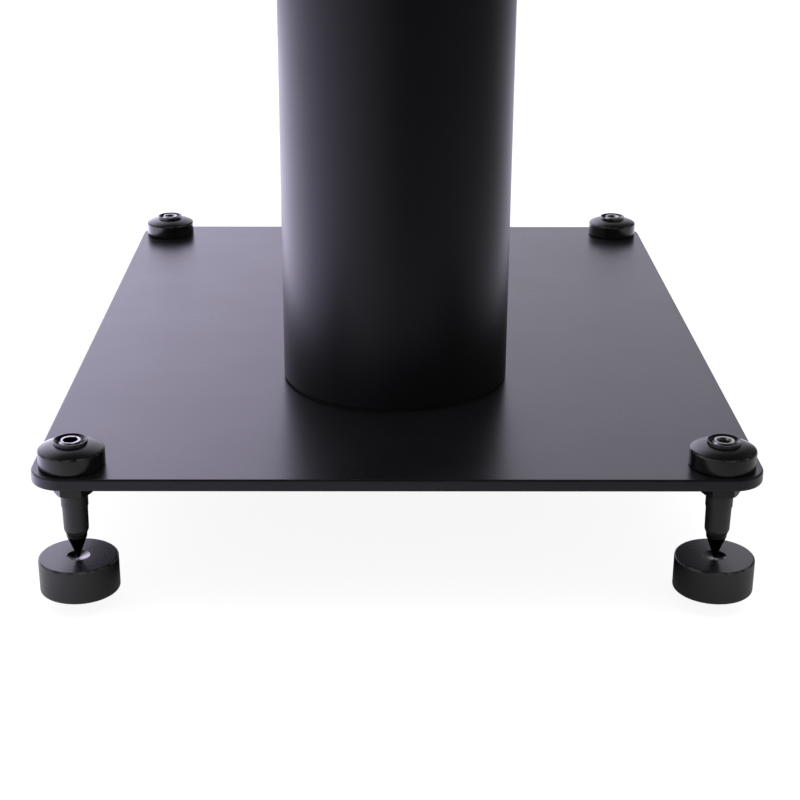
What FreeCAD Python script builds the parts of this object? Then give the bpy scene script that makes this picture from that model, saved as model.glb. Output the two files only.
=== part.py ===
import FreeCAD, Part
import math
import os

os.makedirs("parts", exist_ok=True)
Vector = FreeCAD.Vector
UP = Vector(0, 0, 1)
FLOOR_CENTRE = Vector(0, 0, 0)

# Speaker stand on four adjustable spikes. The origin is on the floor, under the middle of
# the base plate. +Z is up, and -Y is the front, the side that the pillar stands nearer to.

# ---------------------------------------------------------------- driving dimensions, in mm
# Base plate
base_width = 256.0
base_depth = 325.0
base_thickness = 4.5
base_corner_radius = 12.0
plate_edge_chamfer = 0.4
foot_inset_x = 14.0
foot_inset_y = 13.5

# Pillar, set forward of the middle of the base plate
pillar_diameter = 88.9
pillar_wall = 3.0
pillar_length = 545.0
pillar_forward = 55.5
pillar_edge_break = 0.4

# Top plate
top_width = 165.0
top_depth = 200.0
top_thickness = 4.5
top_corner_radius = 12.0
top_forward = 22.0

# Gaskets between the pillar and the plates
gasket_thickness = 0.8
gasket_inset = 0.9

# End discs, welded inside the pillar's ends and tapped for the plate screws
disc_thickness = 10.0

# Countersunk plate screws
screw_count = 4
screw_circle_diameter = 60.0
screw_diameter = 6.0
screw_length = 14.0
screw_head_diameter = 12.0
screw_head_rim = 0.3
screw_point_chamfer = 0.7
screw_key_width = 4.0
screw_key_depth = 2.2

# Spike: a threaded stud with a key socket, then a collar, a shank, a neck and a turned point
stud_diameter = 8.0
stud_chamfer = 0.4
stud_below_knob_top = 0.1
stud_key_width = 4.0
stud_key_depth = 5.0
stud_key_mouth_chamfer = 0.35
collar_diameter = 9.6
collar_length = 5.0
collar_edge_chamfer = 0.25
shank_top_diameter = 9.1
shank_end_diameter = 8.8
shank_length = 14.0
shoulder_height = 1.8
neck_top_diameter = 7.4
neck_end_diameter = 7.2
neck_length = 1.2
point_length = 8.9
point_nose_radius = 0.3

# Nut fixed under the base plate, in which the spike turns
nut_across_flats = 13.0
nut_height = 6.0
nut_face_diameter = 12.6
nut_chamfer_angle = 30.0

# Locking knob and the washer in its underside
knob_diameter = 23.5
knob_height = 9.0
knob_foot_chamfer = 0.2
knob_wall_height = 5.8
knob_shoulder_bulge = 0.25
knob_shoulder_height = 2.0
knob_lip_diameter = 12.0
knob_mouth_chamfer = 1.5
knob_recess_depth = 0.6
washer_diameter = 20.4
washer_showing = 0.4

# Shoe under each spike, with a dish for the point
shoe_diameter = 28.6
shoe_height = 12.4
shoe_top_chamfer = 0.7
shoe_foot_chamfer = 0.5
dish_diameter = 8.2
dish_depth = 1.2

# Fits and clearances
thread_clearance = 0.08
stud_hole_clearance = 0.5
washer_bore_clearance = 0.4
washer_rim_clearance = 0.3
washer_face_clearance = 0.05
point_clearance = 0.1
shank_nut_clearance = 0.2
disc_clearance = 0.1
screw_thread_clearance = 0.05
screw_hole_clearance = 0.3
screw_head_clearance = 0.1
screw_head_sunk = 0.1
cut_past = 1.0

# ---------------------------------------------------------------- places, from the floor up
point_z = shoe_height - dish_depth + point_clearance
neck_z = point_z + point_length
shoulder_z = neck_z + neck_length
shank_z = shoulder_z + shoulder_height
shank_top_z = shank_z + shank_length
collar_z = shank_top_z - collar_length
nut_z = shank_top_z + shank_nut_clearance
base_z = nut_z + nut_height
base_top_z = base_z + base_thickness
washer_z = base_top_z
knob_z = base_top_z + washer_showing
knob_top_z = knob_z + knob_height
stud_top_z = knob_top_z - stud_below_knob_top
pillar_z = base_top_z + gasket_thickness
pillar_top_z = pillar_z + pillar_length
top_z = pillar_top_z + gasket_thickness
top_top_z = top_z + top_thickness

pillar_y = -pillar_forward
top_y = -top_forward
foot_x = base_width / 2 - foot_inset_x
foot_y = base_depth / 2 - foot_inset_y
corners = {
    "front_left": Vector(-foot_x, -foot_y, 0),
    "front_right": Vector(foot_x, -foot_y, 0),
    "rear_left": Vector(-foot_x, foot_y, 0),
    "rear_right": Vector(foot_x, foot_y, 0),
}


# ---------------------------------------------------------------- shapes
def save(name, shape):
    """Write one node and print its volume."""
    solids = shape.Solids
    whole = solids[0] if len(solids) == 1 else Part.makeCompound(solids)
    whole.exportStep("parts/" + name + ".step")
    print(name, len(solids), "solid(s)", round(whole.Volume, 1), "mm3", "valid", whole.isValid())


def turned(start, *steps):
    """Solid turned about Z. A step is the next (radius, height), or the middle and end of an arc."""
    edges = []
    here = Vector(start[0], 0, start[1])
    first = here
    for step in steps + (start,):
        if isinstance(step[0], tuple):
            middle = Vector(step[0][0], 0, step[0][1])
            there = Vector(step[1][0], 0, step[1][1])
            edges.append(Part.Arc(here, middle, there).toShape())
        else:
            there = Vector(step[0], 0, step[1])
            if there.distanceToPoint(here) > 1e-6:
                edges.append(Part.LineSegment(here, there).toShape())
        here = there
    assert here.distanceToPoint(first) < 1e-6
    face = Part.Face(Part.Wire(edges))
    return face.revolve(FLOOR_CENTRE, UP, 360)


def hexagon(across_flats, low_z, high_z):
    """Hexagonal prism about Z, with two of its flats facing front and rear."""
    corner_radius = across_flats / math.sqrt(3)
    points = []
    for turn in range(7):
        angle = math.radians(60 * turn)
        points.append(Vector(corner_radius * math.cos(angle), corner_radius * math.sin(angle), low_z))
    return Part.Face(Part.makePolygon(points)).extrude(UP * (high_z - low_z))


def rod(radius, low_z, high_z, x=0.0, y=0.0):
    """Plain cylinder along Z."""
    return Part.makeCylinder(radius, high_z - low_z, Vector(x, y, low_z))


def on_circle(count, diameter, x, y):
    """Evenly spaced points, the first half a step round from +X."""
    places = []
    for index in range(count):
        angle = 2 * math.pi * (index + 0.5) / count
        places.append(Vector(x + diameter / 2 * math.cos(angle), y + diameter / 2 * math.sin(angle), 0))
    return places


def rounded_plate(width, depth, low_z, thickness, corner_radius, middle_y):
    """Flat plate with rounded corners and broken edges all round."""
    plate = Part.makeBox(width, depth, thickness, Vector(-width / 2, middle_y - depth / 2, low_z))
    upright = [edge for edge in plate.Edges if abs(edge.BoundBox.ZLength - thickness) < 1e-6]
    plate = plate.makeFillet(corner_radius, upright)
    rim = [edge for edge in plate.Edges if edge.BoundBox.ZLength < 1e-6]
    return plate.makeChamfer(plate_edge_chamfer, rim)


def screw(outer_z, inward):
    """Countersunk screw with its head at outer_z, pointing along inward (1 up, -1 down)."""
    head_radius = screw_head_diameter / 2
    radius = screw_diameter / 2
    cone_end = screw_head_rim + head_radius - radius
    body = turned(
        (0, 0),
        (head_radius, 0),
        (head_radius, screw_head_rim),
        (radius, cone_end),
        (radius, screw_length - screw_point_chamfer),
        (radius - screw_point_chamfer, screw_length),
        (0, screw_length),
    )
    body = body.cut(hexagon(screw_key_width, 0, screw_key_depth))
    if inward < 0:
        body.rotate(FLOOR_CENTRE, Vector(1, 0, 0), 180)
    body.translate(UP * outer_z)
    return body


def countersink(face_z, inward):
    """Cutter for a screw's head and shank, from a plate's outer face inwards."""
    head_radius = screw_head_diameter / 2 + screw_head_clearance
    hole_radius = screw_diameter / 2 + screw_hole_clearance
    seat = screw_head_sunk + screw_head_rim
    cutter = turned(
        (0, -cut_past),
        (head_radius, -cut_past),
        (head_radius, seat),
        (hole_radius, seat + head_radius - hole_radius),
        (hole_radius, screw_length),
        (0, screw_length),
    )
    if inward < 0:
        cutter.rotate(FLOOR_CENTRE, Vector(1, 0, 0), 180)
    cutter.translate(UP * face_z)
    return cutter


# ---------------------------------------------------------------- plates
screw_places = on_circle(screw_count, screw_circle_diameter, 0, pillar_y)


def make_base_plate():
    plate = rounded_plate(base_width, base_depth, base_z, base_thickness, base_corner_radius, 0)
    hole_radius = stud_diameter / 2 + stud_hole_clearance
    for place in corners.values():
        plate = plate.cut(rod(hole_radius, base_z - cut_past, base_top_z + cut_past, place.x, place.y))
    cutter = countersink(base_z, 1)
    for place in screw_places:
        plate = plate.cut(cutter.translated(place))
    return plate


def make_top_plate():
    plate = rounded_plate(top_width, top_depth, top_z, top_thickness, top_corner_radius, top_y)
    cutter = countersink(top_top_z, -1)
    for place in screw_places:
        plate = plate.cut(cutter.translated(place))
    return plate


def make_gasket(low_z):
    radius = pillar_diameter / 2 - gasket_inset
    gasket = rod(radius, low_z, low_z + gasket_thickness, 0, pillar_y)
    for place in screw_places:
        hole_radius = screw_diameter / 2 + screw_hole_clearance
        hole = rod(hole_radius, low_z - cut_past, low_z + gasket_thickness + cut_past)
        gasket = gasket.cut(hole.translated(place))
    return gasket


# ---------------------------------------------------------------- pillar
def make_pillar_tube():
    outer = pillar_diameter / 2
    inner = outer - pillar_wall
    tube = turned(
        (inner, pillar_z),
        (outer - pillar_edge_break, pillar_z),
        (outer, pillar_z + pillar_edge_break),
        (outer, pillar_top_z - pillar_edge_break),
        (outer - pillar_edge_break, pillar_top_z),
        (inner, pillar_top_z),
    )
    return tube.translated(Vector(0, pillar_y, 0))


def make_end_disc(low_z):
    radius = pillar_diameter / 2 - pillar_wall - disc_clearance
    high_z = low_z + disc_thickness
    disc = rod(radius, low_z, high_z, 0, pillar_y)
    for place in screw_places:
        hole_radius = screw_diameter / 2 + screw_thread_clearance
        hole = rod(hole_radius, low_z - cut_past, high_z + cut_past)
        disc = disc.cut(hole.translated(place))
    return disc


def make_screws(head_z, inward):
    one = screw(head_z + inward * screw_head_sunk, inward)
    return Part.makeCompound([one.translated(place) for place in screw_places])


# ---------------------------------------------------------------- adjustable feet
def make_under_nut():
    """Hexagon nut with its corners chamfered at both faces, as a turned blank would be."""
    corner_radius = nut_across_flats / math.sqrt(3)
    face_radius = nut_face_diameter / 2
    drop = (corner_radius - face_radius) * math.tan(math.radians(nut_chamfer_angle))
    bore = stud_diameter / 2 + thread_clearance
    blank = turned(
        (bore, nut_z),
        (face_radius, nut_z),
        (corner_radius, nut_z + drop),
        (corner_radius, base_z - drop),
        (face_radius, base_z),
        (bore, base_z),
    )
    return blank.common(hexagon(nut_across_flats, nut_z, base_z))


def make_spike():
    """Stud, collar, shank, shoulder, neck and point turned as one, with a key socket on top."""
    nose = point_nose_radius
    stud = stud_diameter / 2
    body = turned(
        (0, point_z),
        ((nose * math.sin(math.radians(45)), point_z + nose * (1 - math.cos(math.radians(45)))),
         (nose, point_z + nose)),
        (neck_end_diameter / 2, neck_z),
        (neck_top_diameter / 2, shoulder_z),
        (shank_end_diameter / 2, shank_z),
        (shank_top_diameter / 2, collar_z),
        (collar_diameter / 2 - collar_edge_chamfer, collar_z),
        (collar_diameter / 2, collar_z + collar_edge_chamfer),
        (collar_diameter / 2, shank_top_z),
        (stud, shank_top_z),
        (stud, stud_top_z - stud_chamfer),
        (stud - stud_chamfer, stud_top_z),
        (0, stud_top_z),
    )
    socket = hexagon(stud_key_width, stud_top_z - stud_key_depth, stud_top_z)
    mouth_radius = stud_key_width / math.sqrt(3)
    drill_radius = stud_key_width / 2
    mouth = turned(
        (0, stud_top_z - stud_key_depth - drill_radius / math.sqrt(3)),
        (drill_radius, stud_top_z - stud_key_depth),
        (mouth_radius - stud_key_mouth_chamfer, stud_top_z - 2 * stud_key_mouth_chamfer),
        (mouth_radius + stud_key_mouth_chamfer, stud_top_z),
        (0, stud_top_z),
    )
    return body.cut(socket.fuse(mouth))


def make_lock_washer():
    radius = washer_diameter / 2
    bore = stud_diameter / 2 + washer_bore_clearance
    high_z = knob_z + knob_recess_depth - washer_face_clearance
    return rod(radius, washer_z, high_z).cut(rod(bore, washer_z - cut_past, high_z + cut_past))


def make_lock_knob():
    """Turned knob: recessed underside, straight wall, swelling shoulder, flat lip and open mouth."""
    radius = knob_diameter / 2
    lip = knob_lip_diameter / 2
    bore = stud_diameter / 2 + thread_clearance
    recess = washer_diameter / 2 + washer_rim_clearance
    wall_z = knob_z + knob_wall_height
    lip_z = wall_z + knob_shoulder_height
    slope = math.hypot(radius - lip, knob_shoulder_height)
    swell_radius = (radius + lip) / 2 + knob_shoulder_bulge * knob_shoulder_height / slope
    swell_z = (wall_z + lip_z) / 2 + knob_shoulder_bulge * (radius - lip) / slope
    return turned(
        (bore, knob_z + knob_recess_depth),
        (recess, knob_z + knob_recess_depth),
        (recess, knob_z),
        (radius - knob_foot_chamfer, knob_z),
        (radius, knob_z + knob_foot_chamfer),
        (radius, wall_z),
        ((swell_radius, swell_z), (lip, lip_z)),
        (lip, knob_top_z),
        (bore + knob_mouth_chamfer, knob_top_z),
        (bore, knob_top_z - knob_mouth_chamfer),
    )


def make_spike_shoe():
    """Round shoe with broken edges and a shallow ground dish in its top."""
    radius = shoe_diameter / 2
    dish = dish_diameter / 2
    sphere_radius = (dish * dish + dish_depth * dish_depth) / (2 * dish_depth)
    half_reach = dish / 2
    half_depth = shoe_height - dish_depth + sphere_radius - math.sqrt(sphere_radius ** 2 - half_reach ** 2)
    return turned(
        (0, 0),
        (radius - shoe_foot_chamfer, 0),
        (radius, shoe_foot_chamfer),
        (radius, shoe_height - shoe_top_chamfer),
        (radius - shoe_top_chamfer, shoe_height),
        (dish, shoe_height),
        ((half_reach, half_depth), (0, shoe_height - dish_depth)),
    )


# ---------------------------------------------------------------- the assembly
save("base_plate", make_base_plate())
save("foot_gasket", make_gasket(base_top_z))
save("pillar_tube", make_pillar_tube())
save("pillar_foot_disc", make_end_disc(pillar_z))
save("pillar_head_disc", make_end_disc(pillar_top_z - disc_thickness))
save("head_gasket", make_gasket(pillar_top_z))
save("top_plate", make_top_plate())
save("base_screws", make_screws(base_z, 1))
save("top_screws", make_screws(top_top_z, -1))

foot_pieces = {
    "under_nut": make_under_nut(),
    "spike": make_spike(),
    "lock_washer": make_lock_washer(),
    "lock_knob": make_lock_knob(),
    "spike_shoe": make_spike_shoe(),
}
for corner, place in corners.items():
    for piece, shape in foot_pieces.items():
        save(piece + "_" + corner, shape.translated(place))

print("base plate top", base_top_z, "overall height", top_top_z)
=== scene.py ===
# %% [markdown]
# # A loudspeaker stand on adjustable spikes
# The stand's real sizes, its joints and its collision shapes are already made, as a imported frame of
# nodes that ride on bodies. This lesson gives that frame its looks: smooth turned parts, a real
# thread, powder coat, black oxide and rubber, and a small studio to see them in.

# %% Load the frame
import math

import bmesh
import bpy
from mathutils import Matrix, Vector


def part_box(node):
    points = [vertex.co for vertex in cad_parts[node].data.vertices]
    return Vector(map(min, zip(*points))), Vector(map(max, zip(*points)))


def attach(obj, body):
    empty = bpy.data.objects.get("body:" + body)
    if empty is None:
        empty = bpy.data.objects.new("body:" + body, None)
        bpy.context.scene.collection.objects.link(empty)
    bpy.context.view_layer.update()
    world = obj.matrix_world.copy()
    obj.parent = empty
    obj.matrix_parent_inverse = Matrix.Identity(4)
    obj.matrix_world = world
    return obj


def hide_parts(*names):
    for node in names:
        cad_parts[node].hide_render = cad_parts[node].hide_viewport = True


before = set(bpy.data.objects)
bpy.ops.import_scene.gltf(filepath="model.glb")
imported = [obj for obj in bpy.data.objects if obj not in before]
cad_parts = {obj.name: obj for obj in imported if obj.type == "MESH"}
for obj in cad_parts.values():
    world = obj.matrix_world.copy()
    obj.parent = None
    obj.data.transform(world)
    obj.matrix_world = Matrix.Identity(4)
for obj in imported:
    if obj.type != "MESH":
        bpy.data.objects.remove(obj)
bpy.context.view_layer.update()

MM = 0.001
print("frame:", len(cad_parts), "nodes")

# %% [markdown]
# ## Where the feet stand
# Each foot is built round one upright axis: a shoe, a spike, a nut, a washer and a knob. A turned
# piece could be modelled at the world's middle and moved, but the export expects every object at
# the origin with its place in its mesh. So the axis of each foot is read from the frame first, and
# the pieces are turned round it where they stand.

# %% Axes and heights, read from the frame
CORNERS = ("front_left", "front_right", "rear_left", "rear_right")


def middle(node):
    """The middle of a node's box, on its underside."""
    low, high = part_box(node)
    return Vector(((low.x + high.x) / 2, (low.y + high.y) / 2, low.z))


def from_axis(place, axis):
    """How far a place lies from an upright axis."""
    return math.hypot(place.x - axis.x, place.y - axis.y)


FOOT_AXES = {corner: middle("spike_shoe_" + corner) for corner in CORNERS}
FOOT_X = FOOT_AXES["front_right"].x
FOOT_Y = FOOT_AXES["rear_right"].y
PILLAR_AXIS = middle("pillar_tube")
print("feet at", round(FOOT_X / MM, 2), round(FOOT_Y / MM, 2), "mm")
print("pillar at", round(PILLAR_AXIS.y / MM, 2), "mm")

# %% [markdown]
# ## The camera
# The picture was taken from a little above the base plate, close to the front. The lens, the tilt
# and the place were worked out from the plate's outline and the feet, which have known sizes. The
# small shift stands for a picture that was trimmed unevenly.

# %% Camera
CAMERA_PLACE = Vector((-6.877, -682.771, 281.511)) * MM
CAMERA_PITCH = math.radians(21.417)
CAMERA_YAW = math.radians(-0.348)
CAMERA_ROLL = math.radians(0.177)
LENS = 74.73
SENSOR = 36.0
SHIFT_X = 0.01595
CLIP_START = 0.01

camera_data = bpy.data.cameras.new("camera")
camera_data.lens = LENS
camera_data.sensor_width = SENSOR
camera_data.shift_x = SHIFT_X
camera_data.clip_start = CLIP_START
camera = bpy.data.objects.new("camera", camera_data)
bpy.context.scene.collection.objects.link(camera)
turn = Matrix.Rotation(CAMERA_YAW, 4, "Z")
turn @= Matrix.Rotation(math.pi / 2 - CAMERA_PITCH, 4, "X")
turn @= Matrix.Rotation(CAMERA_ROLL, 4, "Z")
camera.matrix_world = Matrix.Translation(CAMERA_PLACE) @ turn
bpy.context.scene.camera = camera
bpy.context.scene.view_settings.view_transform = "Standard"
print("camera looks down by", round(math.degrees(CAMERA_PITCH), 1), "degrees")

# %% [markdown]
# ## A lathe
# Nearly every piece of a foot is turned from bar, and so is the tube of the pillar in effect. A
# lathe is the natural way to model them: draw half of the outline, soften its corners, and spin
# it. The corners are softened on the outline, before the spin, because a bevel of a few points is
# exact and quick. The softened points are marked in an attribute called edge, which the spin
# copies, so the materials know later where a real edge would wear, and where they paint a lighter
# edge as a painted highlight.

# %% Lathe
EDGE_MARK = "edge"
ROUND_STEPS = 3
TURNS = 128
WELD = 0.002 * MM
SHARP_ANGLE = math.radians(32)


def bow(start, end, rise, steps):
    """Points of an arc between two (radius, height) ends. Its middle rises to its left by rise."""
    first, last = Vector(start), Vector(end)
    along = last - first
    left = Vector((-along.y, along.x)).normalized()
    points = []
    for step in range(1, steps):
        share = step / steps
        points.append(tuple(first + along * share + left * rise * 4 * share * (1 - share)))
    return points


def new_form():
    """An empty form whose points can carry the edge mark."""
    form = bmesh.new()
    form.verts.layers.float.new(EDGE_MARK)
    return form


def outline(form, points, axis, closed=False):
    """Draw a half outline of (radius, height) points beside an axis, as a chain of edges."""
    corners = [form.verts.new((axis.x + radius, axis.y, height)) for radius, height in points]
    for here, there in zip(corners, corners[1:]):
        form.edges.new((here, there))
    if closed:
        form.edges.new((corners[-1], corners[0]))
    return corners


def soften(form, corners, rounds):
    """Round corners of an outline. rounds maps a corner's number to its reach along both sides."""
    mark = form.verts.layers.float[EDGE_MARK]
    for number, reach in rounds.items():
        made = bmesh.ops.bevel(
            form, geom=[corners[number]], offset=reach, offset_type="OFFSET",
            segments=ROUND_STEPS, profile=0.5, affect="VERTICES", material=-1,
        )
        fresh = set(made["verts"])
        for vertex in fresh:
            if all(edge.other_vert(vertex) in fresh for edge in vertex.link_edges):
                vertex[mark] = 1.0


def spin(form, axis, steps=TURNS):
    """Spin everything in the form once round an upright axis, and close its seam and poles."""
    bmesh.ops.spin(
        form, geom=form.verts[:] + form.edges[:], cent=axis, axis=(0, 0, 1), dvec=(0, 0, 0),
        angle=2 * math.pi, steps=steps, use_merge=True, use_duplicate=False,
    )
    bmesh.ops.remove_doubles(form, verts=form.verts, dist=WELD)


def finish_piece(form, name, body, nodes, materials):
    """Turn a form into a piece that stands for its nodes and rides on their body."""
    bmesh.ops.recalc_face_normals(form, faces=form.faces)
    data = bpy.data.meshes.new(name)
    form.to_mesh(data)
    form.free()
    data.shade_smooth()
    data.set_sharp_from_angle(angle=SHARP_ANGLE)
    for material in materials:
        data.materials.append(material)
    piece = bpy.data.objects.new(name, data)
    bpy.context.scene.collection.objects.link(piece)
    piece.modifiers.new("flat faces shade flat", "WEIGHTED_NORMAL").keep_sharp = True
    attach(piece, body)
    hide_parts(*nodes)
    return piece


def turned(points, rounds, axis, closed=False, steps=TURNS):
    """A turned form from a half outline."""
    form = new_form()
    corners = outline(form, points, axis, closed)
    soften(form, corners, rounds)
    spin(form, axis, steps)
    return form


print("lathe ready:", TURNS, "steps a turn")

# %% [markdown]
# ## Shared effects
# Real finishes share a few habits: a coat has a fine grain and a slow mottle, a turned face has
# lines round its axis, an edge wears to a lighter grey, which here is also a painted highlight, and
# dust settles on what faces up. Each habit is one node group with named inputs, so every material
# can use it in its own measure.

# %% Helpers for nodes
def feed(tree, socket, value):
    """Fill a socket with a link or with a value."""
    if isinstance(value, bpy.types.NodeSocket):
        tree.links.new(value, socket)
    else:
        socket.default_value = value


def add(tree, kind, inputs=None, **settings):
    """Add a node, set its settings, and fill its inputs."""
    node = tree.nodes.new(kind)
    for key, value in settings.items():
        setattr(node, key, value)
    for key, value in (inputs or {}).items():
        feed(tree, node.inputs[key], value)
    return node


def maths(tree, operation, first, second=0.0):
    """One step of arithmetic."""
    return add(tree, "ShaderNodeMath", {0: first, 1: second}, operation=operation).outputs[0]


def times(tree, first, second):
    """The product of two values."""
    return maths(tree, "MULTIPLY", first, second)


def rest_of(tree, share):
    """What a share leaves of one."""
    return maths(tree, "SUBTRACT", 1.0, share)


def spread(tree, value, low, high, to_low=0.0, to_high=1.0):
    """Map a value from one range to another, held at both ends."""
    names = {"Value": value, "From Min": low, "From Max": high, "To Min": to_low, "To Max": to_high}
    return add(tree, "ShaderNodeMapRange", names).outputs["Result"]


def noise(tree, vector, scale, detail=2.0, roughness=0.5):
    """A cloud of noise with a scale in cells to the unit of its vector."""
    names = {"Vector": vector, "Scale": scale, "Detail": detail, "Roughness": roughness}
    return add(tree, "ShaderNodeTexNoise", names).outputs["Fac"]


def in_millimetres(tree, place):
    """A place in metres, as millimetres."""
    node = add(tree, "ShaderNodeVectorMath", {0: place, "Scale": 1 / MM}, operation="SCALE")
    return node.outputs["Vector"]


def new_group(name, inputs, outputs):
    """An empty group with sockets of the given names, kinds and defaults."""
    group = bpy.data.node_groups.new(name, "ShaderNodeTree")
    for label, kind, value in inputs:
        socket = group.interface.new_socket(label, in_out="INPUT", socket_type=kind)
        socket.default_value = value
    for label, kind in outputs:
        group.interface.new_socket(label, in_out="OUTPUT", socket_type=kind)
    return group, group.nodes.new("NodeGroupInput"), group.nodes.new("NodeGroupOutput")


FLOAT = "NodeSocketFloat"
VECTOR = "NodeSocketVector"
print("node helpers ready")

# %% [markdown]
# ### Foot space
# The four feet are alike, and one material should serve them all. Their axes stand at the same
# distance from the middle, so the absolute values of x and y, less the axis, give a place in
# millimetres measured from whichever foot the piece belongs to. Radius plus height then grows along
# any turned outline, whether the face is flat, sloped or upright.

# %% Foot space group
foot_space, _, ends = new_group("foot_space", [], [("Local", VECTOR), ("Along", FLOAT)])
where = add(foot_space, "ShaderNodeTexCoord").outputs["Object"]
parts = add(foot_space, "ShaderNodeSeparateXYZ", {0: where}).outputs
local_x = maths(foot_space, "SUBTRACT", maths(foot_space, "ABSOLUTE", parts["X"]), FOOT_X)
local_y = maths(foot_space, "SUBTRACT", maths(foot_space, "ABSOLUTE", parts["Y"]), FOOT_Y)
flat = add(foot_space, "ShaderNodeCombineXYZ", {"X": local_x, "Y": local_y}).outputs[0]
radius = add(foot_space, "ShaderNodeVectorMath", {0: flat}, operation="LENGTH").outputs["Value"]
radius = maths(foot_space, "DIVIDE", radius, MM)
height = maths(foot_space, "DIVIDE", parts["Z"], MM)
local = {"X": local_x, "Y": local_y, "Z": parts["Z"]}
local = add(foot_space, "ShaderNodeCombineXYZ", local).outputs[0]
feed(foot_space, ends.inputs["Local"], in_millimetres(foot_space, local))
feed(foot_space, ends.inputs["Along"], maths(foot_space, "ADD", radius, height))
gives = [socket.name for socket in foot_space.interface.items_tree]
print("group", foot_space.name, "gives", gives)

# %% [markdown]
# ### Coat grain
# Powder coat is melted dust. It flows into a skin with a grain of under a millimetre, over a
# slower orange peel, and its gloss drifts a little from place to place. Three clouds of noise give
# the three scales.

# %% Coat grain group
GRAIN_SHARE = 0.6
MOTTLE_SCALE = 0.035
MOTTLE_RANGE = (0.15, 0.85)

coat_grain, starts, ends = new_group(
    "coat_grain",
    [("Vector", VECTOR, (0, 0, 0)), ("Grain", FLOAT, 0.5), ("Peel", FLOAT, 3.0)],
    [("Height", FLOAT), ("Mottle", FLOAT)],
)
place = in_millimetres(coat_grain, starts.outputs["Vector"])
grain_scale = maths(coat_grain, "DIVIDE", 1.0, starts.outputs["Grain"])
peel_scale = maths(coat_grain, "DIVIDE", 1.0, starts.outputs["Peel"])
grain = noise(coat_grain, place, grain_scale, detail=3.0, roughness=0.55)
peel = noise(coat_grain, place, peel_scale, detail=1.0)
mottle = noise(coat_grain, place, MOTTLE_SCALE, detail=1.5)
skin = maths(coat_grain, "ADD", times(coat_grain, grain, GRAIN_SHARE), peel)
feed(coat_grain, ends.inputs["Height"], skin)
feed(coat_grain, ends.inputs["Mottle"], spread(coat_grain, mottle, *MOTTLE_RANGE))
print("group", coat_grain.name, "made")

# %% [markdown]
# ### Turned lines
# A lathe tool leaves a fine spiral that reads as rings. The rings are noise along the outline, so
# they are never quite even, and a slow cloud lets them fade in and out round the piece, as light
# scratches do.

# %% Turned lines group
FADE_SCALE = 0.25
FADE_RANGE = (0.35, 0.65)
FAINTEST = 0.35
STREAK_RANGE = (0.55, 0.7)

turned_lines, starts, ends = new_group(
    "turned_lines",
    [("Along", FLOAT, 0.0), ("Local", VECTOR, (0, 0, 0)), ("Lines", FLOAT, 6.0)],
    [("Height", FLOAT), ("Streak", FLOAT)],
)
count = times(turned_lines, starts.outputs["Along"], starts.outputs["Lines"])
line = add(turned_lines, "ShaderNodeCombineXYZ", {"X": count}).outputs[0]
rings = noise(turned_lines, line, 1.0, detail=3.0, roughness=0.7)
cloud = noise(turned_lines, starts.outputs["Local"], FADE_SCALE, detail=1.0)
fade = spread(turned_lines, cloud, *FADE_RANGE, FAINTEST, 1.0)
streak = spread(turned_lines, rings, *STREAK_RANGE)
feed(turned_lines, ends.inputs["Height"], times(turned_lines, rings, fade))
feed(turned_lines, ends.inputs["Streak"], times(turned_lines, streak, fade))
print("group", turned_lines.name, "made")

# %% [markdown]
# ### Worn edges with painted highlights, and dust
# The edge mark is broken up by noise, so an edge shows soft light touches, partly wear and partly a
# painted highlight, instead of an even stripe. Dust keeps to faces that look up, as a thin veil with
# a few specks.

# %% Edge and dust groups
WEAR_AND_HIGHLIGHT_SCALE = 0.3
WEAR_AND_HIGHLIGHT_RANGE = (0.42, 0.8)
VEIL_SCALE = 0.03
VEIL_RANGE = (0.2, 0.9)
VEIL_SHARE = 0.6
SPECK_SCALE = 1.6
SPECK_RANGE = (0.78, 0.86)
UPWARD_RANGE = (0.6, 1.0)

# Marked edges turn lighter: partly wear, partly a painted highlight.
wear_and_edge_highlight, starts, ends = new_group(
    "wear_and_edge_highlight", [("Vector", VECTOR, (0, 0, 0)), ("Touch", FLOAT, 0.5)], [("Mask", FLOAT)]
)
mark = add(wear_and_edge_highlight, "ShaderNodeAttribute", attribute_name=EDGE_MARK).outputs["Fac"]
place = in_millimetres(wear_and_edge_highlight, starts.outputs["Vector"])
edge_wear_and_highlight = noise(wear_and_edge_highlight, place, WEAR_AND_HIGHLIGHT_SCALE, detail=4.0, roughness=0.6)
edge_wear_and_highlight = times(wear_and_edge_highlight, spread(wear_and_edge_highlight, edge_wear_and_highlight, *WEAR_AND_HIGHLIGHT_RANGE), mark)
feed(wear_and_edge_highlight, ends.inputs["Mask"], times(wear_and_edge_highlight, edge_wear_and_highlight, starts.outputs["Touch"]))

dust, starts, ends = new_group(
    "dust", [("Vector", VECTOR, (0, 0, 0)), ("Amount", FLOAT, 0.1)], [("Mask", FLOAT)]
)
place = in_millimetres(dust, starts.outputs["Vector"])
normal = add(dust, "ShaderNodeNewGeometry").outputs["Normal"]
upward = spread(dust, add(dust, "ShaderNodeSeparateXYZ", {0: normal}).outputs["Z"], *UPWARD_RANGE)
veil = spread(dust, noise(dust, place, VEIL_SCALE, detail=2.0), *VEIL_RANGE, 0.0, VEIL_SHARE)
specks = spread(dust, noise(dust, place, SPECK_SCALE, detail=1.0), *SPECK_RANGE)
settled = times(dust, maths(dust, "ADD", veil, specks), upward)
feed(dust, ends.inputs["Mask"], times(dust, settled, starts.outputs["Amount"]))
print("groups", wear_and_edge_highlight.name, "and", dust.name, "made")

# %% [markdown]
# ## The materials
# Each finish is a function of its own. The shader and its plain values stay in the material, and
# only what varies over the surface arrives from the groups.

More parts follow.
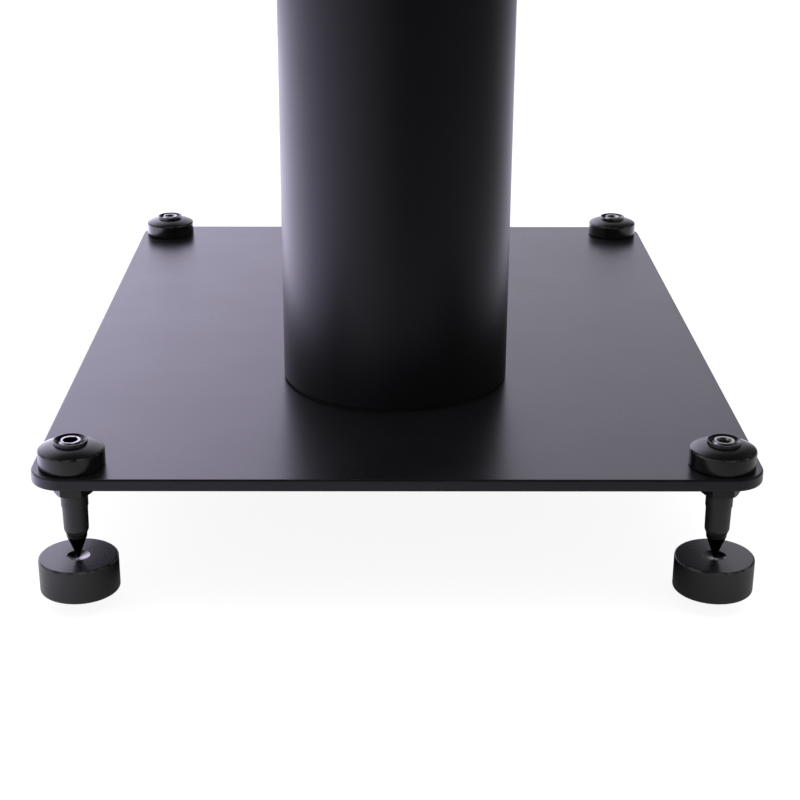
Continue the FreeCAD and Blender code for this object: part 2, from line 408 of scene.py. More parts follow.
# %% Helpers for materials
def new_material(name):
    """A material with its tree, its shader, and the object's own coordinates."""
    material = bpy.data.materials.new(name)
    material.use_nodes = True
    tree = material.node_tree
    shader = tree.nodes["Principled BSDF"]
    where = add(tree, "ShaderNodeTexCoord").outputs["Object"]
    return material, tree, shader, where


def use(tree, group, inputs=None):
    """Place a group in a material."""
    return add(tree, "ShaderNodeGroup", inputs, node_tree=group).outputs


def blend_colour(tree, share, first, second):
    """A colour that goes from the first to the second by a share."""
    node = add(tree, "ShaderNodeMix", data_type="RGBA")
    for key, value in (("Factor_Float", share), ("A_Color", first), ("B_Color", second)):
        feed(tree, next(socket for socket in node.inputs if socket.identifier == key), value)
    return next(socket for socket in node.outputs if socket.identifier == "Result_Color")


def colour(red, green, blue):
    """An opaque colour."""
    return (red, green, blue, 1.0)


def bump(tree, shader, height, depth):
    """Raise the surface by a height map whose full range is depth millimetres."""
    node = add(tree, "ShaderNodeBump", {"Height": height, "Distance": depth * MM})
    feed(tree, shader.inputs["Normal"], node.outputs["Normal"])


def worn_and_highlighted(tree, where, touch, skin, wear_and_highlight_tone):
    """A skin that turns to a lighter tone along its edges, as wear and as a painted highlight."""
    mask = use(tree, wear_and_edge_highlight, {"Vector": where, "Touch": touch})["Mask"]
    return blend_colour(tree, mask, skin, wear_and_highlight_tone)


DUST_COLOUR = colour(0.32, 0.31, 0.32)
DUST_MATT = 0.5


def dusted(tree, shader, where, amount, skin, gloss):
    """Give the shader a skin's colour and roughness, with dust over both."""
    mask = use(tree, dust, {"Vector": where, "Amount": amount})["Mask"]
    feed(tree, shader.inputs["Base Color"], blend_colour(tree, mask, skin, DUST_COLOUR))
    feed(tree, shader.inputs["Roughness"], maths(tree, "ADD", gloss, times(tree, mask, DUST_MATT)))


print("material helpers ready")

# %% [markdown]
# ### Powder coat
# The plates and the pillar wear the same satin black coat with a breath of violet in it. The
# plates' coat is the glossier of the two, so the pillar shows in the base plate, and rough enough
# to leave that reflection a soft edge. The pillar's copy has its tones darkened, as painted shade.

# %% Powder coat
COAT_TONES = (0.0052, 0.0049, 0.0060), (0.0078, 0.0074, 0.0089)
# Coat edges lighten to this grey, as wear and as a painted highlight.
COAT_WEAR_AND_HIGHLIGHT = colour(0.06, 0.058, 0.066)
COAT_TOUCH = 0.25
COAT_TINT = colour(0.9, 0.87, 1.0)
PAINT_IOR = 1.5
PEEL_TO_GRAIN = 6
GLOSS_DRIFT = 0.02


def coat_material(name, roughness, grain, depth, dust_amount, painted_shade=1.0):
    """A powder coat whose grain is given in millimetres. Its tones are darkened by a factor that
    paints shade.
    """
    material, tree, shader, where = new_material(name)
    skin = use(tree, coat_grain, {"Vector": where, "Grain": grain, "Peel": grain * PEEL_TO_GRAIN})
    low, high = [colour(*(painted_shade * part for part in tone)) for tone in COAT_TONES]
    coat = blend_colour(tree, skin["Mottle"], low, high)
    coat = worn_and_highlighted(tree, where, COAT_TOUCH, coat, COAT_WEAR_AND_HIGHLIGHT)
    gloss = spread(tree, skin["Mottle"], 0.0, 1.0, roughness - GLOSS_DRIFT, roughness + GLOSS_DRIFT)
    dusted(tree, shader, where, dust_amount, coat, gloss)
    shader.inputs["IOR"].default_value = PAINT_IOR
    shader.inputs["Specular Tint"].default_value = COAT_TINT
    bump(tree, shader, skin["Height"], depth)
    return material


plate_coat = coat_material("plate_coat", roughness=0.28, grain=0.45, depth=0.005, dust_amount=0.025)
# The pillar's darker tones are painted shade.
pillar_coat = coat_material(
    "pillar_coat", roughness=0.40, grain=0.35, depth=0.003, dust_amount=0.02, painted_shade=0.55
)
print("coats made:", plate_coat.name, pillar_coat.name)

# %% [markdown]
# ### Turned black parts
# Knobs and shoes are turned and then blackened. The black is thin, so the rings of the tool still
# catch the light, and the corners wear through to a dull grey, which also serves as a painted
# highlight along the edges. The bright dish of a shoe and the bare end of a stud have the same rings.

# %% Turned black
# Turned edges wear to this grey, as wear and as a painted highlight.
TURNED_WEAR_AND_HIGHLIGHT = colour(0.16, 0.155, 0.165)
STREAK_MATT = 0.08


def turned_material(
    name, dark, light, roughness, lines, depth, touch, metallic=0.0, dust_amount=0.0
):
    """A turned skin with a number of lines to the millimetre, from dark to light in its streaks."""
    material, tree, shader, where = new_material(name)
    space = use(tree, foot_space)
    marks = {"Along": space["Along"], "Local": space["Local"], "Lines": lines}
    marks = use(tree, turned_lines, marks)
    skin = blend_colour(tree, marks["Streak"], colour(*dark), colour(*light))
    skin = worn_and_highlighted(tree, where, touch, skin, TURNED_WEAR_AND_HIGHLIGHT)
    gloss = spread(tree, marks["Streak"], 0.0, 1.0, roughness, roughness + STREAK_MATT)
    dusted(tree, shader, where, dust_amount, skin, gloss)
    shader.inputs["Metallic"].default_value = metallic
    shader.inputs["IOR"].default_value = PAINT_IOR
    bump(tree, shader, marks["Height"], depth)
    return material


knob_black = turned_material(
    "knob_black", (0.0062, 0.0058, 0.0064), (0.0165, 0.0155, 0.0168),
    roughness=0.24, lines=5.0, depth=0.010, touch=0.7,
)
# Its strong touch gives the shoe's top edge a light line, as wear and as a painted highlight.
shoe_black = turned_material(
    "shoe_black", (0.0140, 0.0130, 0.0160), (0.0220, 0.0205, 0.0245),
    roughness=0.27, lines=4.0, depth=0.006, touch=0.9, dust_amount=0.03,
)
shank_black = turned_material(
    "shank_black", (0.0265, 0.0245, 0.0265), (0.036, 0.0335, 0.036),
    roughness=0.38, lines=3.0, depth=0.004, touch=0.6,
)
point_black = turned_material(
    "point_black", (0.012, 0.012, 0.014), (0.02, 0.02, 0.022),
    roughness=0.10, lines=8.0, depth=0.002, touch=0.5, metallic=0.85,
)
dish_steel = turned_material(
    "dish_steel", (0.26, 0.25, 0.255), (0.36, 0.35, 0.355),
    roughness=0.26, lines=8.0, depth=0.004, touch=0.0, metallic=1.0,
)
stud_steel = turned_material(
    "stud_steel", (0.36, 0.35, 0.355), (0.52, 0.505, 0.515),
    roughness=0.30, lines=8.0, depth=0.003, touch=0.7, metallic=1.0,
)
print("turned finishes made")

# %% [markdown]
# ### Black oxide and rubber
# The nuts and screws are dipped black, which leaves a blotchy, slightly oily steel. The gaskets and
# the washers are rubber, with a matt bloom. One recipe serves them all, and the hidden discs too.

# %% Black oxide, hidden steel and rubber
OXIDE_GRAIN = 0.25
OXIDE_PEEL = 1.2
OXIDE_DEPTH = 0.004
OXIDE_TOUCH = 0.5
OXIDE_WORN = colour(0.3, 0.29, 0.3)
OXIDE_HEIGHTS = (0.4, 1.2)
OXIDE_GLOSS = (-0.06, 0.08)


def oxide_material(name, dark, light, roughness, metallic=0.0):
    """A blotchy skin from dark to light."""
    material, tree, shader, where = new_material(name)
    skin = use(tree, coat_grain, {"Vector": where, "Grain": OXIDE_GRAIN, "Peel": OXIDE_PEEL})
    tint = blend_colour(tree, skin["Mottle"], colour(*dark), colour(*light))
    feed(tree, shader.inputs["Base Color"], worn_and_highlighted(tree, where, OXIDE_TOUCH, tint, OXIDE_WORN))
    glossy, matt = [roughness + drift for drift in OXIDE_GLOSS]
    gloss = spread(tree, skin["Height"], *OXIDE_HEIGHTS, glossy, matt)
    feed(tree, shader.inputs["Roughness"], gloss)
    shader.inputs["Metallic"].default_value = metallic
    bump(tree, shader, skin["Height"], OXIDE_DEPTH)
    return material


nut_oxide = oxide_material(
    "nut_oxide", (0.012, 0.0118, 0.013), (0.022, 0.0215, 0.0235), roughness=0.34, metallic=0.2
)
screw_oxide = oxide_material(
    "screw_oxide", (0.035, 0.034, 0.036), (0.06, 0.058, 0.061), roughness=0.32, metallic=0.9
)
disc_steel = oxide_material(
    "disc_steel", (0.42, 0.42, 0.43), (0.52, 0.52, 0.53), roughness=0.35, metallic=1.0
)
gasket_rubber = oxide_material(
    "gasket_rubber", (0.004, 0.004, 0.0042), (0.007, 0.007, 0.0072), roughness=0.62
)
washer_rubber = oxide_material(
    "washer_rubber", (0.0035, 0.0035, 0.0038), (0.006, 0.006, 0.0064), roughness=0.55
)
print("oxide and rubber made")

# %% [markdown]
# ## Flat pieces
# Plates, nuts, screws, discs and gaskets are exact in the frame already: flat faces, chamfers and
# hexagon sockets. The gaskets and the hidden discs only change their material. The others are
# copied, and the sharp edges of the copy are broken by a small round, as a coat or a tumbling
# barrel does, so that they catch the light. Edges inside a plate's holes stay as they are.

# %% Materials for the frame's own nodes
KEPT_NODES = {
    "foot_gasket": gasket_rubber,
    "head_gasket": gasket_rubber,
    "pillar_foot_disc": disc_steel,
    "pillar_head_disc": disc_steel,
}
for node, material in KEPT_NODES.items():
    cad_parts[node].material_slots[0].material = material
print(len(KEPT_NODES), "nodes keep their shape and get a finish")

# %% Softened copies
FLAT_ANGLE = math.radians(1)
BREAK_ANGLE = math.radians(25)
HOLE_REACH = 6 * MM
PILLAR_REACH = 40 * MM
PLATE_BREAK = 0.3 * MM
NUT_BREAK = 0.12 * MM
SCREW_BREAK = 0.08 * MM


def in_a_hole(edge):
    """Whether an edge belongs to the holes round a foot's axis or under the pillar."""
    centre = (edge.verts[0].co + edge.verts[1].co) / 2
    near_foot = any(from_axis(centre, axis) < HOLE_REACH for axis in FOOT_AXES.values())
    return near_foot or from_axis(centre, PILLAR_AXIS) < PILLAR_REACH


def softened(node, reach, material, keep_holes=True):
    """A copy of a node of the stand with its edges broken by a small round."""
    form = new_form()
    form.from_mesh(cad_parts[node].data)
    bmesh.ops.remove_doubles(form, verts=form.verts, dist=WELD)
    bmesh.ops.dissolve_limit(form, angle_limit=FLAT_ANGLE, verts=form.verts, edges=form.edges)
    corners = [edge for edge in form.edges if edge.is_manifold]
    corners = [edge for edge in corners if edge.calc_face_angle() > BREAK_ANGLE]
    if keep_holes:
        corners = [edge for edge in corners if not in_a_hole(edge)]
    made = bmesh.ops.bevel(
        form, geom=corners, offset=reach, offset_type="OFFSET", segments=ROUND_STEPS, profile=0.5,
        affect="EDGES", material=-1, clamp_overlap=False,
    )
    fresh = set(made["faces"])
    # The round's points are marked, so their lighter tone is wear and a painted highlight.
    mark = form.verts.layers.float.get(EDGE_MARK) or form.verts.layers.float.new(EDGE_MARK)
    for vertex in form.verts:
        vertex[mark] = 1.0 if all(face in fresh for face in vertex.link_faces) else 0.0
    return finish_piece(form, node + "_soft", "stand", [node], [material])


for node in ("base_plate", "top_plate"):
    softened(node, PLATE_BREAK, plate_coat)
for corner in CORNERS:
    softened("under_nut_" + corner, NUT_BREAK, nut_oxide, keep_holes=False)
for node in ("base_screws", "top_screws"):
    softened(node, SCREW_BREAK, screw_oxide, keep_holes=False)

# %% [markdown]
# ## The pillar
# A steel tube, cut square, with its ends broken. The frame's tube is right but has few sides, and
# its outline against white would show them. A new one with more steps is spun from a four-cornered
# ring, with the same wall.

# %% Pillar
PILLAR_WALL = 3.0 * MM
PILLAR_BREAK = 0.4 * MM
PILLAR_STEPS = 256

low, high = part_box("pillar_tube")
outer = (high.x - low.x) / 2
inner = outer - PILLAR_WALL
ring = [(inner, low.z), (outer, low.z), (outer, high.z), (inner, high.z)]
rounds = {1: PILLAR_BREAK, 2: PILLAR_BREAK}
form = turned(ring, rounds, PILLAR_AXIS, closed=True, steps=PILLAR_STEPS)
finish_piece(form, "pillar", "stand", ["pillar_tube"], [pillar_coat])
print("pillar", round(2 * outer / MM, 1), "mm across,", round((high.z - low.z) / MM, 1), "mm long")

# %% [markdown]
# ## The locking knobs
# A knob is a low turned cap: a straight wall, a shoulder that swells a little towards a flat lip,
# and a mouth through which the key reaches the stud. Its underside is recessed for the washer.

# %% Knobs
KNOB_LIP = 6.0 * MM
KNOB_WALL = 5.8 * MM
KNOB_SHOULDER = 2.0 * MM
KNOB_SWELL = 0.25 * MM
KNOB_MOUTH = 1.5 * MM
KNOB_RECESS = 0.6 * MM
KNOB_RECESS_RADIUS = 10.5 * MM
SWELL_STEPS = 8
KNOB_FOOT_ROUND = 0.2 * MM
KNOB_TOP_ROUND = 0.55 * MM
LIP_ROUND = 0.12 * MM
MOUTH_ROUND = 0.1 * MM
LIP_MARGIN = 0.1 * MM
THREAD_GAP = 0.08 * MM
STUD_RADIUS = 4.0 * MM


def knob(corner):
    """A cap whose lip is marked as an edge, so its top takes the lighter tone as wear and as a
    painted highlight ring.
    """
    low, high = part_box("lock_knob_" + corner)
    axis = FOOT_AXES[corner]
    radius = (high.x - low.x) / 2
    bore = STUD_RADIUS + THREAD_GAP
    wall_top = low.z + KNOB_WALL
    lip_foot = wall_top + KNOB_SHOULDER
    points = [
        (bore, low.z + KNOB_RECESS),
        (KNOB_RECESS_RADIUS, low.z + KNOB_RECESS),
        (KNOB_RECESS_RADIUS, low.z),
        (radius, low.z),
        (radius, wall_top),
    ]
    points += bow((radius, wall_top), (KNOB_LIP, lip_foot), -KNOB_SWELL, SWELL_STEPS)
    lip = len(points)
    points += [
        (KNOB_LIP, lip_foot),
        (KNOB_LIP, high.z),
        (bore + KNOB_MOUTH, high.z),
        (bore, high.z - KNOB_MOUTH),
    ]
    rounds = {
        3: KNOB_FOOT_ROUND,
        4: KNOB_TOP_ROUND,
        lip + 1: LIP_ROUND,
        lip + 2: MOUTH_ROUND,
        lip + 3: MOUTH_ROUND,
    }
    form = turned(points, rounds, axis, closed=True)
    # The lip's top is marked, so its lighter tone paints a highlight ring as well as wear.
    mark = form.verts.layers.float[EDGE_MARK]
    for vertex in form.verts:
        if vertex.co.z > lip_foot + LIP_MARGIN and from_axis(vertex.co, axis) > bore + KNOB_MOUTH:
            vertex[mark] = 1.0
    name = "knob_" + corner
    return finish_piece(form, name, name, ["lock_" + name], [knob_black])


for corner in CORNERS:
    print(knob(corner).name, "made")

# %% [markdown]
# ## The washers
# Under each knob lies a rubber washer, of which only a dark rim shows. It is a plain ring with
# rounded corners.

# %% Washers
WASHER_BORE = 4.4 * MM
WASHER_ROUND = 0.2 * MM


def washer(corner):
    """A plain ring."""
    low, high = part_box("lock_washer_" + corner)
    radius = (high.x - low.x) / 2
    ring = [(WASHER_BORE, low.z), (radius, low.z), (radius, high.z), (WASHER_BORE, high.z)]
    rounds = {number: WASHER_ROUND for number in range(len(ring))}
    form = turned(ring, rounds, FOOT_AXES[corner], closed=True)
    name = "washer_" + corner
    return finish_piece(form, name, name, ["lock_" + name], [washer_rubber])


for corner in CORNERS:
    print(washer(corner).name, "made")

# %% [markdown]
# ## The shoes
# A shoe keeps a spike's point from marking the floor. It is a turned disc with a ground dish in
# its top. The point has rubbed the coat off the dish, so the faces inside it get a second
# material.

# %% Shoes
DISH_RADIUS = 4.1 * MM
DISH_DEPTH = 1.2 * MM
DISH_STEPS = 12
SHOE_FOOT_ROUND = 0.5 * MM
SHOE_TOP_ROUND = 0.85 * MM
DISH_ROUND = 0.08 * MM


def shoe(corner):
    """A disc whose dish is a part of a sphere."""
    low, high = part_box("spike_shoe_" + corner)
    axis = FOOT_AXES[corner]
    radius = (high.x - low.x) / 2
    sphere = (DISH_RADIUS ** 2 + DISH_DEPTH ** 2) / (2 * DISH_DEPTH)
    points = [(0, low.z), (radius, low.z), (radius, high.z), (DISH_RADIUS, high.z)]
    for step in range(1, DISH_STEPS):
        reach = DISH_RADIUS * (1 - step / DISH_STEPS)
        points.append((reach, high.z - DISH_DEPTH + sphere - math.sqrt(sphere ** 2 - reach ** 2)))
    points.append((0, high.z - DISH_DEPTH))
    form = turned(points, {1: SHOE_FOOT_ROUND, 2: SHOE_TOP_ROUND, 3: DISH_ROUND}, axis)
    for face in form.faces:
        centre = face.calc_center_median()
        if from_axis(centre, axis) < DISH_RADIUS and centre.z > (low.z + high.z) / 2:
            face.material_index = 1
    name = "shoe_" + corner
    return finish_piece(form, name, name, ["spike_" + name], [shoe_black, dish_steel])


for corner in CORNERS:
    print(shoe(corner).name, "made")

# %% [markdown]
# ## The spikes
# A spike is one turned piece: an M8 stud with a key socket in its end, a collar, a smooth shank, a
# short neck and a sharp point. The thread could be bump alone, but the stud is bare whenever the
# foot is let down, so it is cut as a real helix. One outline of the thread, a chain that runs past
# both ends, is spun a full turn while it climbs one pitch. Its end then meets its start one tooth
# higher and welds to it. Two planes trim it flat, and its crests are turned down at both ends as a
# real stud's are.

# %% Thread
PITCH = 1.25 * MM
ROOT_RADIUS = 3.25 * MM
STUD_CHAMFER = 0.4 * MM
RELIEF = 0.9 * MM
THREAD_STEPS = 96
RUN_UP = 1.5 * PITCH
TRIM = WELD / 10
TOOTH = ((0.0, ROOT_RADIUS), (0.25, ROOT_RADIUS), (0.5625, STUD_RADIUS), (0.6875, STUD_RADIUS))


def open_loop(form, height):
    """The open edges that lie at one height."""
    found = []
    for edge in form.edges:
        level = all(abs(vertex.co.z - height) < WELD for vertex in edge.verts)
        if level and len(edge.link_faces) < 2:
            found.append(edge)
    return found


def draw_in(vertex, axis, share):
    """Move a vertex straight towards an upright axis, to a share of its distance."""
    away = Vector((vertex.co.x - axis.x, vertex.co.y - axis.y)) * share
    vertex.co.x = axis.x + away.x
    vertex.co.y = axis.y + away.y


def thread(form, axis, start, end):
    """Cut a helical thread between two heights, with both of its ends turned down."""
    count = math.ceil((end - start) / PITCH) + 2
    points = []
    for tooth in range(count):
        base = start - RUN_UP + tooth * PITCH
        points += [(radius, base + share * PITCH) for share, radius in TOOTH]
    chain = outline(form, points, axis)
    edges = list({edge for vertex in chain for edge in vertex.link_edges})
    bmesh.ops.spin(
        form, geom=chain + edges, cent=axis, axis=(0, 0, 1), dvec=(0, 0, PITCH / THREAD_STEPS),
        angle=2 * math.pi, steps=THREAD_STEPS, use_merge=False, use_duplicate=False,
    )
    bmesh.ops.remove_doubles(form, verts=form.verts, dist=WELD)
    for height, up in ((start, -1), (end, 1)):
        bmesh.ops.bisect_plane(
            form, geom=form.verts[:] + form.edges[:] + form.faces[:], dist=TRIM,
            plane_co=(0, 0, height), plane_no=(0, 0, up), clear_outer=True,
        )
    for vertex in form.verts:
        radius = from_axis(vertex.co, axis)
        at_start = ROOT_RADIUS + vertex.co.z - start
        at_end = STUD_RADIUS - STUD_CHAMFER + end - vertex.co.z
        limit = min(at_start, at_end)
        if radius > limit:
            draw_in(vertex, axis, limit / radius)


print("thread:", round(PITCH / MM, 2), "mm pitch")

# %% [markdown]
# The socket is a hexagon that starts in a round countersunk mouth. Every level of it is a ring of
# the same number of points, so the levels bridge cleanly, and a ring becomes a hexagon when its
# points are drawn in to the flats.

# %% Key socket
KEY_WIDTH = 4.0 * MM
KEY_DEPTH = 5.0 * MM
KEY_MOUTH = 0.35 * MM
KEY_POINTS = 48
DRILL_TIP = 0.2 * MM
DRILL_DEPTH = 1.0 * MM


def ring_loop(form, radius, axis, height, hexagon=False):
    """A loop of edges round an axis. A hexagon has its corners on the same circle."""
    made = bmesh.ops.create_circle(
        form, cap_ends=False, radius=radius, segments=KEY_POINTS,
        matrix=Matrix.Translation((axis.x, axis.y, height)),
    )
    if hexagon:
        for vertex in made["verts"]:
            past_corner = math.atan2(vertex.co.y - axis.y, vertex.co.x - axis.x) % (math.pi / 3)
            draw_in(vertex, axis, math.cos(math.pi / 6) / math.cos(past_corner - math.pi / 6))
    return list({edge for vertex in made["verts"] for edge in vertex.link_edges})


def key_socket(form, axis, top, rim):
    """Close a stud's end, from its open rim down into a hexagon socket with a drilled bottom."""
    corner_radius = KEY_WIDTH / math.sqrt(3)
    loops = [
        rim,
        ring_loop(form, corner_radius + KEY_MOUTH, axis, top),
        ring_loop(form, corner_radius, axis, top - 2 * KEY_MOUTH, hexagon=True),
        ring_loop(form, corner_radius, axis, top - KEY_DEPTH, hexagon=True),
        ring_loop(form, KEY_WIDTH / 2, axis, top - KEY_DEPTH),
        ring_loop(form, DRILL_TIP, axis, top - KEY_DEPTH - DRILL_DEPTH),
    ]
    for first, second in zip(loops, loops[1:]):
        bmesh.ops.bridge_loops(form, edges=first + second)
    bmesh.ops.edgeloop_fill(form, edges=loops[-1])


print("socket:", round(KEY_WIDTH / MM, 1), "mm across its flats")

# %% Spikes
COLLAR_RADIUS = 4.8 * MM
COLLAR_LENGTH = 5.0 * MM
SHANK_TOP_RADIUS = 4.55 * MM
SHANK_END_RADIUS = 4.4 * MM
NECK_TOP_RADIUS = 3.7 * MM
NECK_END_RADIUS = 3.6 * MM
POINT_LENGTH = 8.9 * MM
NECK_LENGTH = 1.2 * MM
SHOULDER = 1.8 * MM
SHANK_LENGTH = 14.0 * MM
NOSE = 0.3 * MM
CREST_MARGIN = 0.05 * MM
BARE_LENGTH = 1.2 * STUD_CHAMFER
SPIKE_ROUNDS = {
    1: 0.2 * MM, 2: 0.12 * MM, 3: 0.3 * MM, 4: 0.35 * MM, 6: 0.2 * MM, 7: 0.25 * MM, 8: 0.2 * MM,
}


def spike(corner):
    """A stud, a collar, a shank, a neck and a point, welded where the thread runs out."""
    low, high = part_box("spike_" + corner)
    axis = FOOT_AXES[corner]
    neck = low.z + POINT_LENGTH
    shoulder = neck + NECK_LENGTH
    shank = shoulder + SHOULDER
    shank_top = shank + SHANK_LENGTH
    collar = shank_top - COLLAR_LENGTH
    thread_start = shank_top + RELIEF
    form = new_form()
    mark = form.verts.layers.float[EDGE_MARK]
    thread(form, axis, thread_start, high.z)
    key_socket(form, axis, high.z, open_loop(form, high.z))
    for vertex in form.verts:
        crest = from_axis(vertex.co, axis) > STUD_RADIUS - CREST_MARGIN
        vertex[mark] = 1.0 if crest else 0.0
    points = [
        (0, low.z),
        (NOSE, low.z + NOSE),
        (NECK_END_RADIUS, neck),
        (NECK_TOP_RADIUS, shoulder),
        (SHANK_END_RADIUS, shank),
        (SHANK_TOP_RADIUS, collar),
        (COLLAR_RADIUS, collar),
        (COLLAR_RADIUS, shank_top),
        (ROOT_RADIUS, shank_top),
        (ROOT_RADIUS, thread_start),
    ]
    lower = new_form()
    soften(lower, outline(lower, points, axis), SPIKE_ROUNDS)
    spin(lower, axis)
    part = bpy.data.meshes.new("spike_lower")
    lower.to_mesh(part)
    lower.free()
    form.from_mesh(part)
    bpy.data.meshes.remove(part)
    bmesh.ops.bridge_loops(form, edges=open_loop(form, thread_start))
    for face in form.faces:
        height = face.calc_center_median().z
        if height < shoulder:
            face.material_index = 1
        elif height > high.z - BARE_LENGTH:
            face.material_index = 2
    name = "spike_" + corner
    materials = [shank_black, point_black, stud_steel]
    return finish_piece(form, name, name, [name], materials)


for corner in CORNERS:
    made = spike(corner)
    print(made.name, len(made.data.polygons), "faces")

# %% [markdown]
# ## The studio
# The stand is shown on white paper. What makes a black satin part readable is less the light that
# falls on it than what it mirrors: bright paper and a bright wall behind and to the left, and a
# dark room where the camera stands. Each direction's brightness was tuned until the reflections
# looked like the picture's. The paper and the room carry it as rings of stops, read round the
# compass, and show it in reflections only. The bright side is a little violet, and the dim side is
# plain.

# %% Rings of light
WHITE = colour(1.0, 1.0, 1.0)
GLOW_TINT = colour(0.95, 0.90, 1.15)
PLAIN_UNDER = 0.5
TINTED_OVER = 1.6
BRIGHTEST = 5.0
WALL_RING = {
    -180: 0.1, -75: 0.8, -50: 1.4, -30: 2.4, -15: 2.63, -5: 1.72,
    5: 1.2, 15: 1.06, 30: 0.1, 75: 0.15, 180: 0.1,
}
NEAR_RING = {
    -180: 0.65, -150: 0.85, -110: 2.65, -75: 4.14, -45: 4.19,
    0: 2.39, 45: 2.03, 110: 0.7, 150: 0.62, 180: 0.65,
}
FAR_RING = {
    -180: 0.1, -150: 0.7, -110: 1.66, -75: 2.91, -45: 3.63,
    0: 2.39, 45: 1.38, 75: 0.28, 180: 0.1,
}


def flat_parts(tree, place):
    """How far a place or a view lies from the upright axis, its height, and its turn round it."""
    parts = add(tree, "ShaderNodeSeparateXYZ", {0: place}).outputs
    flat = add(tree, "ShaderNodeCombineXYZ", {"X": parts["X"], "Y": parts["Y"]}).outputs[0]
    away = add(tree, "ShaderNodeVectorMath", {0: flat}, operation="LENGTH").outputs["Value"]
    turn = spread(tree, maths(tree, "ARCTAN2", parts["X"], parts["Y"]), -math.pi, math.pi)
    return away, parts["Z"], turn


def ring_of_light(tree, turn, stops):
    """Brightness by direction. The stops give it by degrees from the back, growing to the right."""
    ramp = add(tree, "ShaderNodeValToRGB", {"Fac": turn})
    spots = ramp.color_ramp.elements
    for degrees, bright in stops.items():
        spot = {-180: spots[0], 180: spots[-1]}.get(degrees) or spots.new((degrees + 180) / 360)
        spot.color = colour(*[bright / BRIGHTEST] * 3)
    return times(tree, ramp.outputs["Color"], BRIGHTEST)


def tinted(tree, bright):
    """The colour of light of a given brightness."""
    return blend_colour(tree, spread(tree, bright, PLAIN_UNDER, TINTED_OVER), WHITE, GLOW_TINT)


def kinds_of_view(tree):
    """Whether the camera looks, itself or through glass, and whether a surface mirrors."""
    path = add(tree, "ShaderNodeLightPath").outputs
    straight = maths(tree, "MAXIMUM", path["Is Camera Ray"], path["Is Transmission Ray"])
    return straight, path["Is Glossy Ray"]


print("the wall is brightest", round(max(WALL_RING.values()), 1), "times white")

# %% [markdown]
# The feet can be let down by 6 mm, so the paper lies just under their lowest place. Then no pose
# sinks a shoe in it, and on plain white the small gap at rest doesn't show.

# %% Paper floor
FLOOR_HALF = 30.0
FLOOR_DROP = 6.02 * MM
FLOOR_WHITE = 0.30
FLOOR_GLOW = 0.90
FADE_START = 0.6
FADE_END = 3.0
SHADE_START = 0.15
NEAR_START = 0.24
NEAR_END = 0.45
IMAGE_START = 1.0
IMAGE_END = 2.5


def floor_material():
    """White paper with a soft shadow near the stand, melting into the background further out. In
    reflections it glows by direction as painted light, faded out near the stand as painted shade.
    """
    material, tree, shader, where = new_material("studio_floor")
    tree.nodes.remove(shader)
    straight, mirrored = kinds_of_view(tree)
    away, _, turn = flat_parts(tree, where)

    far = spread(tree, away, FADE_START, FADE_END)
    white = times(tree, times(tree, rest_of(tree, far), FLOOR_WHITE), rest_of(tree, mirrored))
    paper = {"Red": white, "Green": white, "Blue": white}
    paper = add(tree, "ShaderNodeCombineColor", paper).outputs[0]
    lit = add(tree, "ShaderNodeBsdfDiffuse", {"Color": paper}).outputs[0]
    glow = times(tree, straight, spread(tree, far, 0.0, 1.0, FLOOR_GLOW, 1.0))
    shine = add(tree, "ShaderNodeEmission", {"Strength": glow}).outputs[0]

    outer = spread(tree, away, NEAR_START, NEAR_END)
    near_light = times(tree, ring_of_light(tree, turn, NEAR_RING), rest_of(tree, outer))
    far_light = times(tree, ring_of_light(tree, turn, FAR_RING), outer)
    # The glow seen only in reflections is painted light, and fading it out near the stand is painted
    # shade.
    bright = times(
        tree, maths(tree, "ADD", near_light, far_light), spread(tree, away, SHADE_START, NEAR_START)
    )
    bright = times(tree, bright, spread(tree, away, IMAGE_START, IMAGE_END, 1.0, 0.0))
    glint = {"Color": tinted(tree, bright), "Strength": times(tree, mirrored, bright)}
    glint = add(tree, "ShaderNodeEmission", glint).outputs[0]

    total = add(tree, "ShaderNodeAddShader", {0: lit, 1: shine}).outputs[0]
    total = add(tree, "ShaderNodeAddShader", {0: total, 1: glint}).outputs[0]
    feed(tree, tree.nodes["Material Output"].inputs["Surface"], total)
    return material


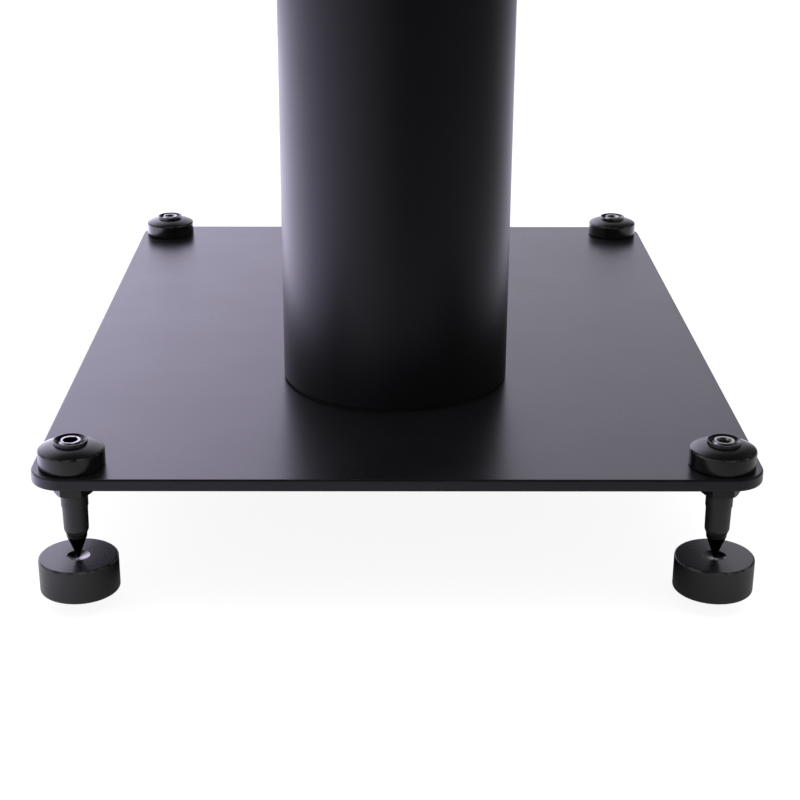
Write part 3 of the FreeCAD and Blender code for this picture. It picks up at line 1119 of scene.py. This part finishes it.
def stage_sheet(name, width, depth, material):
    """A flat sheet of the studio, at the height of the floor."""
    form = bmesh.new()
    bmesh.ops.create_grid(form, x_segments=1, y_segments=1, size=0.5)
    bmesh.ops.scale(form, vec=(width, depth, 1), verts=form.verts)
    bmesh.ops.translate(form, vec=(0, 0, -FLOOR_DROP), verts=form.verts)
    data = bpy.data.meshes.new(name)
    form.to_mesh(data)
    form.free()
    data.materials.append(material)
    sheet = bpy.data.objects.new(name, data)
    bpy.context.scene.collection.objects.link(sheet)


stage_sheet("floor", 2 * FLOOR_HALF, 2 * FLOOR_HALF, floor_material())
print("floor made")

# %% World
ROOM_FILL = 0.5
WALL_END = math.radians(35)
WALL_TOP = math.radians(60)


def studio_world():
    """White to the camera, a wall of light in reflections, and a dim room for the rest."""
    world = bpy.data.worlds.new("studio_world")
    bpy.context.scene.world = world
    world.use_nodes = True
    tree = world.node_tree
    background = tree.nodes["Background"]
    straight, mirrored = kinds_of_view(tree)
    view = add(tree, "ShaderNodeTexCoord").outputs["Generated"]
    level, up, turn = flat_parts(tree, view)
    overhead = spread(tree, maths(tree, "ARCTAN2", up, level), WALL_END, WALL_TOP, 1.0, 0.0)
    wall = times(tree, ring_of_light(tree, turn, WALL_RING), overhead)
    plain = rest_of(tree, maths(tree, "MAXIMUM", straight, mirrored))
    strength = maths(tree, "ADD", straight, times(tree, mirrored, wall))
    strength = maths(tree, "ADD", strength, times(tree, plain, ROOM_FILL))
    feed(tree, background.inputs["Color"], blend_colour(tree, mirrored, WHITE, tinted(tree, wall)))
    feed(tree, background.inputs["Strength"], strength)


studio_world()
print("world made")

# %% [markdown]
# Large soft lamps give the plain light, and lay a faint shadow under the shoes and the plate.

# %% Lamps
def softbox(name, place, aim, width, height, radiance):
    """A flat lamp with a given brightness as seen from the stand, which no reflection shows."""
    light = bpy.data.lights.new(name, "AREA")
    light.shape = "RECTANGLE"
    light.size = width
    light.size_y = height
    light.energy = radiance * math.pi * width * height
    lamp = bpy.data.objects.new(name, light)
    bpy.context.scene.collection.objects.link(lamp)
    lamp.location = place
    lamp.rotation_euler = (Vector(aim) - Vector(place)).to_track_quat("-Z", "Y").to_euler()
    lamp.visible_camera = False
    lamp.visible_glossy = False


AIM = (0, 0, 0.15)
softbox("panel_back_left", (-1.3, 1.6, 1.8), AIM, width=1.8, height=1.4, radiance=1.6)
softbox("panel_top", (0.3, -0.3, 2.4), AIM, width=2.0, height=2.0, radiance=1.2)
